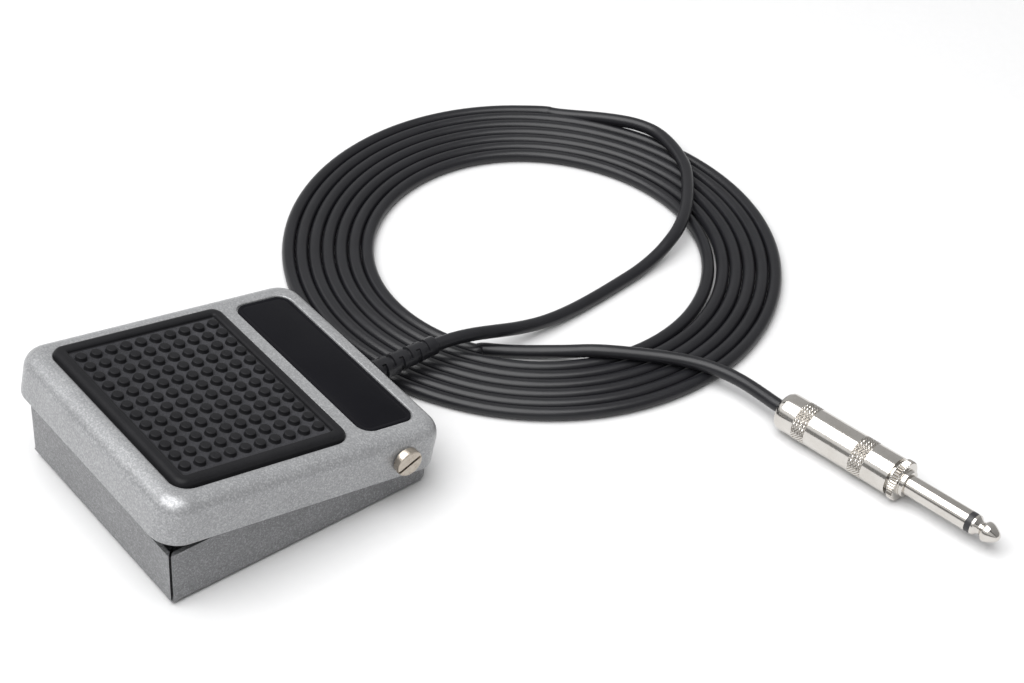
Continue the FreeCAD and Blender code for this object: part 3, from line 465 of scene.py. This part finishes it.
def addLathe(bm, profile, steps, shape=None, closed=False, materialOf=None):
    # turns pairs of along and radius round the X axis
    rows = []
    for along, radius in profile:
        row = []
        for step in range(steps):
            angle = fullTurn * step / steps
            reach = shape(along, angle, radius) if shape else radius
            row.append(bm.verts.new((along, reach * math.cos(angle), reach * math.sin(angle))))
        rows.append(row)
    if closed:
        rows.append(rows[0])
    for number in range(len(rows) - 1):
        before, after = rows[number], rows[number + 1]
        for step in range(steps):
            following = (step + 1) % steps
            face = bm.faces.new((before[step], before[following], after[following], after[step]))
            if materialOf:
                face.material_index = materialOf(profile[number][0], fullTurn * (step + 0.5) / steps)


def spaced(start, end, step):
    count = max(1, round((end - start) / step))
    return [start + (end - start) * number / count for number in range(count + 1)]


def belongs(piece, body, slotName, *nodes):
    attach(piece, body)
    if nodes:
        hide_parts(*nodes)
    return piece


# the treadle cover is a pressed shell with two recesses and a notch for the relief
cover = {
    "halfWidth": 41.0, "halfLength": 47.15, "height": 13.8, "tilt": 11.0,
    "corner": 8.0, "edge": 5.0, "wall": 1.8, "edgeSteps": 9, "cornerSteps": 12,
    "notchHalf": 6.5, "lipRound": 0.5, "lipEase": 0.1,
    "padRecess": {"halfX": 34.8, "halfY": 28.85, "corner": 5.5, "middle": -12.0, "depth": 1.0},
    "plateRecess": {"halfX": 34.0, "halfY": 9.65, "corner": 4.35, "middle": 31.0, "depth": 0.8},
    "recessRound": 0.4,
}


def coverPlace(cover):
    low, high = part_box("top_cover")
    tilt = math.radians(cover["tilt"])
    half = cover["halfLength"] * mm
    middle = Vector(((low.x + high.x) / 2, low.y + half * math.cos(tilt), low.z + half * math.sin(tilt)))
    return Matrix.Translation(middle) @ Matrix.Rotation(-tilt, 4, "X")


def coverLevels(cover):
    shoulder = cover["height"] - cover["edge"]
    wall = cover["wall"]
    lip = cover["lipRound"]
    steps = cover["edgeSteps"]
    inside = arcSteps(cover["edge"], shoulder, cover["edge"] - wall, steps, 90, 180)
    ease = cover["lipEase"]
    rim = [(wall, lip), (wall + ease, ease), (wall - 2 * ease, 0), (lip, 0), (ease, ease), (0, lip)]
    outside = arcSteps(cover["edge"], shoulder, cover["edge"], steps, 180, 90)
    return inside + rim + outside, len(inside) - 1, len(inside) + len(rim)


def buildCover(cover):
    bm = bmesh.new()
    levels, innerShoulder, outerShoulder = coverLevels(cover)
    marks = (cover["notchHalf"], -cover["notchHalf"])
    rings = []
    for inset, height in levels:
        outline = roundedOutline(cover["halfWidth"] - inset, cover["halfLength"] - inset,
                                 cover["corner"] - inset, cover["cornerSteps"], marks)
        rings.append(addRing(bm, outline, height))
    notch = 2 * (cover["cornerSteps"] + 1)
    for number in range(len(rings) - 1):
        cut = notch if innerShoulder <= number < outerShoulder else None
        joinRings(bm, rings[number], rings[number + 1], cut)
    for column in (notch, notch + 1):
        bm.faces.new([rings[number][column] for number in range(innerShoulder, outerShoulder + 1)])
    inner, outer = rings[innerShoulder], rings[outerShoulder]
    bm.faces.new((inner[notch], inner[notch + 1], outer[notch + 1], outer[notch]))
    bm.faces.new(rings[0])
    rims = [rings[-1]]
    for recess in (cover["padRecess"], cover["plateRecess"]):
        rims.append(sinkRecess(bm, recess, cover["height"], cover["recessRound"]))
    edges = []
    for rim in rims:
        for index, vertex in enumerate(rim):
            pair = (vertex, rim[(index + 1) % len(rim)])
            edges.append(bm.edges.get(pair) or bm.edges.new(pair))
    bmesh.ops.triangle_fill(bm, use_beauty=True, use_dissolve=False, edges=edges)
    return finishPiece(bm, "treadleCover", [coverPaint], coverPlace(cover), 38, True)


def sinkRecess(bm, recess, top, rounding):
    rings = []
    lowered = [(rounding - a, b - rounding) for a, b in arcSteps(0, 0, rounding, 3, 90, 0)]
    for grow, drop in lowered + [(0, -recess["depth"])]:
        outline = roundedOutline(recess["halfX"] + grow, recess["halfY"] + grow, recess["corner"] + grow)
        rings.append(addRing(bm, outline, top + drop, recess["middle"]))
    for number in range(len(rings) - 1):
        joinRings(bm, rings[number], rings[number + 1])
    bm.faces.new(rings[-1])
    return rings[0]


belongs(buildCover(cover), "pedal", "cover_paint", "top_cover")
print("cover pressed")


# the tread pad has a rim round a lowered field of studs, drawn as pairs of radius and height
pad = {
    "halfX": 34.1, "halfY": 28.15, "corner": 3.4, "middle": -12.0, "bottom": 12.8, "rimTop": 15.6,
    "field": 14.4, "rimWidth": 3.6, "outerRound": 1.6, "innerRound": 1.0, "cornerShrink": 0.75,
    "rimFoot": [(0.05, 0.25), (0.3, 0)],
    "columns": 12, "rows": 10, "pitch": 4.9,
    "stud": [(1.95, 14.3), (1.82, 14.42), (1.72, 14.6), (1.64, 15.2), (1.62, 15.46), (1.55, 15.6),
             (1.4, 15.68), (1.0, 15.72), (0, 15.74)],
    "studSteps": 28,
}


def buildPad(pad):
    bm = bmesh.new()
    top = pad["rimTop"]
    outer = pad["outerRound"]
    inner = pad["innerRound"]
    levels = [(0, pad["bottom"])] + arcSteps(outer, top - outer, outer, 6, 180, 90)
    levels += arcSteps(pad["rimWidth"] - inner, top - inner, inner, 5, 90, 0)
    levels += [(pad["rimWidth"] + out, pad["field"] + rise) for out, rise in pad["rimFoot"]]
    rings = []
    for inset, height in levels:
        corner = pad["corner"] - inset * pad["cornerShrink"]
        outline = roundedOutline(pad["halfX"] - inset, pad["halfY"] - inset, corner)
        rings.append(addRing(bm, outline, height, pad["middle"]))
    for number in range(len(rings) - 1):
        joinRings(bm, rings[number], rings[number + 1])
    bm.faces.new(rings[0])
    field = bm.faces.new(rings[-1])
    field.material_index = 1
    for column in range(pad["columns"]):
        for row in range(pad["rows"]):
            x = (column - (pad["columns"] - 1) / 2) * pad["pitch"]
            y = (row - (pad["rows"] - 1) / 2) * pad["pitch"] + pad["middle"]
            addStud(bm, pad, x, y)
    return finishPiece(bm, "treadPad", [blackRubber, fieldRubber], coverPlace(cover), 50)


def addStud(bm, pad, x, y):
    steps = pad["studSteps"]
    rings = []
    for radius, height in pad["stud"][:-1]:
        rings.append([bm.verts.new((x + radius * math.cos(fullTurn * step / steps),
                                    y + radius * math.sin(fullTurn * step / steps), height))
                      for step in range(steps)])
    for number in range(len(rings) - 1):
        joinRings(bm, rings[number], rings[number + 1])
    peak = bm.verts.new((x, y, pad["stud"][-1][1]))
    for step in range(steps):
        bm.faces.new((rings[-1][step], rings[-1][(step + 1) % steps], peak))
    bm.faces.new(rings[0])


belongs(buildPad(pad), "pedal", "rubber", "tread_pad")
print("tread pad moulded:", pad["columns"] * pad["rows"], "studs")


# the name plate is left blank, with one thin pressed line near its edge
plate = {
    "halfX": 33.65, "halfY": 9.3, "corner": 4.0, "middle": 31.0, "bottom": 13.0, "top": 13.6, "edge": 0.25,
    "pressedLine": [(1.1, 0), (1.2, 0.05), (1.35, 0.05), (1.45, 0)],
}


def buildPlate(plate):
    bm = bmesh.new()
    edge = plate["edge"]
    levels = [(0, plate["bottom"])] + arcSteps(edge, plate["top"] - edge, edge, 4, 180, 90)
    levels += [(inset, plate["top"] - drop) for inset, drop in plate["pressedLine"]]
    rings = []
    for inset, height in levels:
        outline = roundedOutline(plate["halfX"] - inset, plate["halfY"] - inset, plate["corner"] - inset)
        rings.append(addRing(bm, outline, height, plate["middle"]))
    for number in range(len(rings) - 1):
        joinRings(bm, rings[number], rings[number + 1])
    bm.faces.new(rings[0])
    bm.faces.new(rings[-1])
    return finishPiece(bm, "namePlate", [satinPlate], coverPlace(cover), 30)


belongs(buildPlate(plate), "pedal", "plate_black", "name_plate")
print("name plate made")


# a slotted shoulder screw on the right and a low plain pin on the left, as pairs of radius and length
screw = {
    "profile": [(0, -6), (2.0, -6), (2.0, 0), (2.5, 0), (2.5, 4.0), (4.05, 4.0), (4.2, 4.15), (4.2, 6.05),
                (4.1, 6.3), (3.85, 6.46), (3.5, 6.5), (0, 6.5)],
    "steps": 72, "slotWidth": 0.9, "slotDepth": 1.2, "slotRise": 21, "cutterReach": 12,
}
pin = {
    "profile": [(0, -6), (2.0, -6), (2.0, 0), (2.5, 0), (2.5, 4.0), (2.9, 4.0), (3.0, 4.1), (3.0, 4.25),
                (2.9, 4.42), (2.7, 4.5), (0, 4.5)],
    "steps": 72,
}


def sideOf(node):
    low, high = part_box(node)
    outwards = 1 if low.x + high.x > 0 else -1
    face = high.x if outwards > 0 else low.x
    return Vector((face, (low.y + high.y) / 2, (low.z + high.z) / 2)), outwards


def cutAway(piece, cutter):
    cut = piece.modifiers.new("cutAway", "BOOLEAN")
    cut.operation = "DIFFERENCE"
    cut.solver = "EXACT"
    cut.object = cutter
    graph = bpy.context.evaluated_depsgraph_get()
    carved = bpy.data.meshes.new_from_object(piece.evaluated_get(graph))
    piece.modifiers.clear()
    piece.data = carved
    bpy.data.objects.remove(cutter)
    carved.shade_smooth()
    carved.set_sharp_from_angle(angle=math.radians(30))


def buildScrew(screw, node, name):
    face, outwards = sideOf(node)
    inwards = Matrix.Translation((-screw["profile"][-1][1] * mm, 0, 0))
    place = Matrix.Translation(face) @ Matrix.Diagonal((outwards, 1, 1, 1)) @ inwards
    bm = bmesh.new()
    addLathe(bm, [(along, radius) for radius, along in screw["profile"]], screw["steps"])
    finish = turnedNickel(name + "Face", turnedLook, face)
    piece = finishPiece(bm, name, [finish], place, 30)
    if "slotWidth" not in screw:
        return piece
    groove = bmesh.new()
    bmesh.ops.create_cube(groove, size=1)
    size = (screw["slotDepth"] * 2, screw["cutterReach"], screw["slotWidth"])
    bmesh.ops.scale(groove, vec=size, verts=groove.verts)
    tilt = Matrix.Translation(face) @ Matrix.Rotation(math.radians(screw["slotRise"]), 4, "X")
    # the cutter carries the painted slot shade finish
    cutter = finishPiece(groove, name + "Groove", [paintedSlotShade], tilt)
    cutAway(piece, cutter)
    return piece


belongs(buildScrew(screw, "hinge_screw_right", "hingeScrewRight"), "base", "nickel", "hinge_screw_right")
belongs(buildScrew(pin, "hinge_screw_left", "hingeScrewLeft"), "base", "nickel", "hinge_screw_left")
print("hinge screws turned")


# the strain relief is a tapered boot with slots that take turns round it, as pairs of length and radius
boot = {
    "profile": [(-2.8, 4.6), (-1.2, 4.6), (-1.2, 3.5), (0, 3.5), (0, 4.6), (1.4, 4.6), (1.6, 4.4),
                (1.6, 3.8)],
    "taperStart": 1.6, "taperEnd": 27.0, "rootRadius": 3.8, "endRadius": 3.0, "collarEnd": 30.0,
    "slotCount": 8, "slotPitch": 3.175, "firstSlot": 3.5, "slotWidth": 1.3, "core": 2.5,
    "arc": 62, "arcBlend": 4, "bore": 2.1, "steps": 96, "rowStep": 0.5, "slotEdge": 0.12, "slotClear": 0.15,
    "endRound": 0.5, "endEase": 0.15,
}


def bootSlots(boot):
    return [boot["firstSlot"] + boot["slotPitch"] * number for number in range(boot["slotCount"])]


def bootShape(along, angle, radius):
    # slots open at the sides and at top and bottom by turns
    for number, middle in enumerate(bootSlots(boot)):
        if abs(along - middle) <= boot["slotWidth"] / 2 + 0.001:
            turned = math.degrees(angle) + (90 if number % 2 else 0)
            off = abs((turned + 90) % 180 - 90)
            share = min(max((boot["arc"] - off) / boot["arcBlend"] + 0.5, 0), 1)
            return radius + (boot["core"] - radius) * share
    return radius


def buildBoot(boot):
    profile = list(boot["profile"])
    rows = set(spaced(boot["taperStart"], boot["taperEnd"], boot["rowStep"]))
    half = boot["slotWidth"] / 2
    edge = half + boot["slotEdge"]
    for middle in bootSlots(boot):
        rows = {row for row in rows if abs(row - middle) > half + boot["slotClear"]}
        rows |= {middle - edge, middle - half, middle, middle + half, middle + edge}
    for row in sorted(rows):
        share = (row - boot["taperStart"]) / (boot["taperEnd"] - boot["taperStart"])
        profile.append((row, boot["rootRadius"] + (boot["endRadius"] - boot["rootRadius"]) * share))
    end = boot["collarEnd"]
    rounding = boot["endRound"]
    ease = boot["endEase"]
    profile += [(end - rounding, boot["endRadius"]), (end - ease, boot["endRadius"] - ease),
                (end, boot["endRadius"] - rounding), (end, boot["bore"]), (profile[0][0], boot["bore"])]
    bm = bmesh.new()
    addLathe(bm, profile, boot["steps"], bootShape, True)
    low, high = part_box("strain_relief")
    start = Vector(((low.x + high.x) / 2, high.y - end * mm, cord["exit"][2]))
    place = Matrix.Translation(start) @ Matrix.Rotation(math.radians(90), 4, "Z")
    return finishPiece(bm, "strainReliefBoot", [cordVinyl], place, 40)


belongs(buildBoot(boot), "base", "cord_pvc", "strain_relief")
print("strain relief moulded")


# the quarter-inch plug is turned from pairs of length, from its rear end, and radius
plug = {
    "shankMiddle": 58.275,
    "barrel": [(3.0, 3.15), (0.0, 3.15), (0.0, 3.7), (0.25, 4.55), (0.7, 5.25), (1.3, 5.75), (1.9, 6.0),
               (2.4, 6.1)],
    "barrelRadius": 6.1, "barrelEnd": 41.5, "barrelBore": 5.0,
    "bands": ((7.5, 12.2), (28.25, 33.0)), "diamonds": 30, "diamondLength": 0.94,
    "knurlDepth": 0.32, "knurlRise": 0.1, "steps": 360,
    "grooveShadeShare": 0.76, "bandEdge": 0.12, "bandRow": 0.14, "endRound": 0.25, "endEase": 0.07,
    "flutes": 46, "fluteDepth": 0.34, "fluteFrom": 42.6, "fluteTo": 44.8, "fluteRadius": 6.3,
    "fluteShade": 0.6, "shadeTo": 44.5, "roundSteps": 96,
    "collar": [(35.0, 2.25), (35.0, 4.85), (42.5, 4.85), (42.5, 6.1), (42.65, 6.4), (42.85, 6.5),
               (43.2, 6.5), (43.9, 6.5), (44.4, 6.5), (44.7, 6.4), (44.9, 6.15), (44.95, 5.5), (44.95, 4.5),
               (45.05, 4.35), (46.25, 4.3), (46.45, 4.15), (46.5, 3.9), (46.5, 2.25)],
    "sleeve": [(46.5, 2.25), (46.5, 3.1), (46.6, 3.175), (67.2, 3.175), (67.35, 3.1), (67.35, 2.25)],
    "ring": [(35.0, 1.25), (35.0, 2.15), (67.35, 2.15), (67.35, 3.14), (69.15, 3.14), (69.15, 1.25)],
    "tip": [(15.0, 0), (15.0, 1.15), (69.15, 1.15), (69.15, 3.08), (69.27, 3.175), (69.95, 3.175),
            (70.1, 3.05), (70.9, 2.3), (71.25, 2.05), (71.6, 2.0), (71.9, 2.1), (72.3, 2.5), (72.8, 2.95),
            (73.2, 3.15), (73.7, 3.17), (74.3, 3.08), (75.1, 2.75), (76.2, 2.1), (77.0, 1.5), (77.5, 0.9),
            (77.7, 0)],
}


def plugPlace(plug):
    shank = next(mount for mount in frame["record"]["mounts"] if mount["name"] == "plug_shank")
    along = Vector(shank["axis"]).normalized()
    side = Vector((0, 0, 1)).cross(along)
    rear = Vector(shank["pos_m"]) - along * plug["shankMiddle"] * mm
    turn = Matrix((along, side, along.cross(side))).transposed().to_4x4()
    return Matrix.Translation(rear) @ turn


def knurlGroove(along, angle):
    # 0 on a diamond's middle, 1 along the crossing grooves, None outside the bands
    for start, end in plug["bands"]:
        if start < along < end:
            turn = angle / fullTurn * plug["diamonds"]
            run = along / plug["diamondLength"]
            return max(abs((turn + run) % 1 - 0.5), abs((turn - run) % 1 - 0.5)) * 2
    return None


def knurl(along, angle, radius):
    groove = knurlGroove(along, angle)
    if groove is None or radius != plug["barrelRadius"]:
        return radius
    return radius + plug["knurlRise"] - plug["knurlDepth"] * groove


# painted shade: faces deep in the crossing knurl grooves take the dark groove shade finish
def knurlShadeIndex(along, angle):
    groove = knurlGroove(along, angle)
    return 1 if groove is not None and groove > plug["grooveShadeShare"] else 0


def fluteWave(angle):
    return abs((angle / fullTurn * plug["flutes"]) % 1 - 0.5) * 2


def flute(along, angle, radius):
    if not plug["fluteFrom"] < along < plug["fluteTo"] or radius < plug["fluteRadius"]:
        return radius
    return radius - plug["fluteDepth"] * fluteWave(angle)


# painted shade: the flute valleys on the collar take the dark groove shade finish
def fluteShadeIndex(along, angle):
    onFlutes = plug["fluteFrom"] < along < plug["shadeTo"]
    return 1 if onFlutes and fluteWave(angle) > plug["fluteShade"] else 0


def barrelProfile(plug):
    radius = plug["barrelRadius"]
    end = plug["barrelEnd"]
    rounding = plug["endRound"]
    ease = plug["endEase"]
    profile = list(plug["barrel"])
    for start, stop in plug["bands"]:
        profile.append((start - plug["bandEdge"], radius))
        profile += [(row, radius) for row in spaced(start, stop, plug["bandRow"])]
        profile.append((stop + plug["bandEdge"], radius))
    profile += [(end - rounding, radius), (end - ease, radius - ease), (end, radius - rounding)]
    return profile + [(end, plug["barrelBore"]), (profile[0][0], plug["barrelBore"])]


def turnPart(name, profile, finishes, steps, shape=None, sharp=35, materialOf=None):
    bm = bmesh.new()
    closed = profile[0][1] > 0
    addLathe(bm, profile, steps, shape, closed, materialOf)
    return finishPiece(bm, name, finishes, plugPlace(plug), sharp)


# bright nickel, then the painted groove shade
nickelAndGrooveShade = [brightNickel, paintedGrooveShade]
roundSteps = plug["roundSteps"]
barrelPiece = belongs(turnPart("plugBarrel", barrelProfile(plug), nickelAndGrooveShade, plug["steps"], knurl, 24,
                               knurlShadeIndex), "base", "nickel", "plug_barrel")
collarPiece = belongs(turnPart("plugCollar", plug["collar"], nickelAndGrooveShade, plug["flutes"] * 8, flute, 24,
                               fluteShadeIndex), "base", "nickel", "plug_collar")
sleevePiece = belongs(turnPart("plugSleeve", plug["sleeve"], [brightNickel], roundSteps), "base", "nickel",
                      "plug_sleeve")
ringPiece = belongs(turnPart("plugInsulator", plug["ring"], [phenolic], roundSteps), "base", "switch_black",
                    "plug_insulator")
tipPiece = belongs(turnPart("plugTip", plug["tip"], [brightNickel], roundSteps), "base", "nickel",
                   "plug_tip")
print("plug turned")


# the return spring inside is wound to the height of its part box; on the pedal it shortens as the treadle
# goes down
spring = {"meanRadius": 6.6, "wire": 0.7, "turns": 6.4, "flatTurns": 0.6, "around": 12, "perTurn": 40,
          "keep": 0.82}


def buildSpring(spring):
    low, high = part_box("return_spring")
    middleX = (low.x + high.x) / 2
    middleY = (low.y + high.y) / 2
    base = low.z / mm + spring["wire"]
    rise = (high.z - low.z) / mm - 2 * spring["wire"]
    total = round(spring["turns"] * spring["perTurn"])
    flat = spring["flatTurns"] * spring["perTurn"]
    bm = bmesh.new()
    rows = []
    for step in range(total + 1):
        angle = fullTurn * step / spring["perTurn"]
        share = min(max((step - flat) / (total - 2 * flat), 0), 1)
        height = base + rise * share
        row = []
        for corner in range(spring["around"]):
            lean = fullTurn * corner / spring["around"]
            reach = spring["meanRadius"] + spring["wire"] * math.cos(lean)
            row.append(bm.verts.new((reach * math.cos(angle), reach * math.sin(angle),
                                     height + spring["wire"] * math.sin(lean))))
        rows.append(row)
    for number in range(total):
        joinRings(bm, rows[number], rows[number + 1])
    bm.faces.new(rows[0])
    bm.faces.new(rows[-1])
    return finishPiece(bm, "returnSpring", [zincPlate], Matrix.Translation((middleX, middleY, 0)))


springPiece = belongs(buildSpring(spring), "base", "zinc_steel", "return_spring")
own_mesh(springPiece)
print("spring wound")


# air holds the brightness from the back horizon at 0, over the top, to the front horizon at 1
studio = {
    "floorHalf": 4.0,
    "floorColour": {"dark": (0.62, 0.62, 0.623), "light": (0.66, 0.66, 0.663), "fleck": (0.69, 0.69, 0.69),
                    "cloud": 3, "grain": 300, "speck": 0.2, "roughness": (0.75, 0.9), "gloss": 0.2,
                    "bump": 0.00001},
    "air": [(0.0, 0.55), (0.5, 0.55), (0.535, 0.52), (0.547, 0.02), (0.608, 0.02), (0.62, 1.1), (0.87, 1.1),
            (0.9, 0.32), (1.0, 0.34)],
    "airPeak": 1.1,
    "airLeft": 1.05,
    "airRight": 0.5,
    "lights": [
        {"name": "keySoftbox", "place": (0.05, -0.3, 1.15), "aim": (0.02, 0.1, 0), "size": (1.5, 1.3),
         "power": 28},
    ],
}


def layFloor(studio):
    bm = bmesh.new()
    bmesh.ops.create_grid(bm, x_segments=8, y_segments=8, size=studio["floorHalf"] / mm)
    floor = finishPiece(bm, "studioFloor", [grainedFinish("whiteSweep", studio["floorColour"])])


def hangLights(studio):
    for light in studio["lights"]:
        lamp = bpy.data.lights.new(light["name"], "AREA")
        lamp.shape = "RECTANGLE"
        lamp.size, lamp.size_y = light["size"]
        lamp.energy = light["power"]
        hung = bpy.data.objects.new(light["name"], lamp)
        place = Vector(light["place"])
        turn = (Vector(light["aim"]) - place).to_track_quat("-Z", "Y")
        hung.matrix_world = Matrix.Translation(place) @ turn.to_matrix().to_4x4()
        scene.collection.objects.link(hung)


def paintWorld(studio):
    world = bpy.data.worlds.new("studioAir")
    scene.world = world
    world.use_nodes = True
    tree = world.node_tree
    air = tree.nodes["Background"]
    place = tree.nodes.new("ShaderNodeTexCoord")
    split = tree.nodes.new("ShaderNodeSeparateXYZ")
    tree.links.new(place.outputs["Generated"], split.inputs["Vector"])
    height = tree.nodes.new("ShaderNodeMath")
    height.operation = "ABSOLUTE"
    tree.links.new(split.outputs["Z"], height.inputs[0])
    climb = tree.nodes.new("ShaderNodeMath")
    climb.operation = "ARCTAN2"
    tree.links.new(height.outputs[0], climb.inputs[0])
    tree.links.new(split.outputs["Y"], climb.inputs[1])
    ramp = tree.nodes.new("ShaderNodeFloatCurve")
    tree.links.new(spread(tree, climb.outputs[0], 0, math.pi, 0, 1), ramp.inputs["Value"])
    curve = ramp.mapping.curves[0]
    for point in studio["air"][1:-1]:
        curve.points.new(point[0], point[1] / studio["airPeak"])
    curve.points[0].location = (0, studio["air"][0][1] / studio["airPeak"])
    curve.points[-1].location = (1, studio["air"][-1][1] / studio["airPeak"])
    for point in curve.points:
        point.handle_type = "VECTOR"
    ramp.mapping.update()
    lean = spread(tree, split.outputs["X"], -1, 1, studio["airLeft"], studio["airRight"])
    tone = tree.nodes.new("ShaderNodeMath")
    tone.operation = "MULTIPLY"
    tree.links.new(ramp.outputs["Value"], tone.inputs[0])
    tree.links.new(lean, tone.inputs[1])
    tree.links.new(tone.outputs[0], air.inputs["Color"])
    air.inputs["Strength"].default_value = studio["airPeak"]


layFloor(studio)
hangLights(studio)
paintWorld(studio)
scene.view_settings.view_transform = "Standard"
scene.view_settings.look = "None"
print("studio lit")
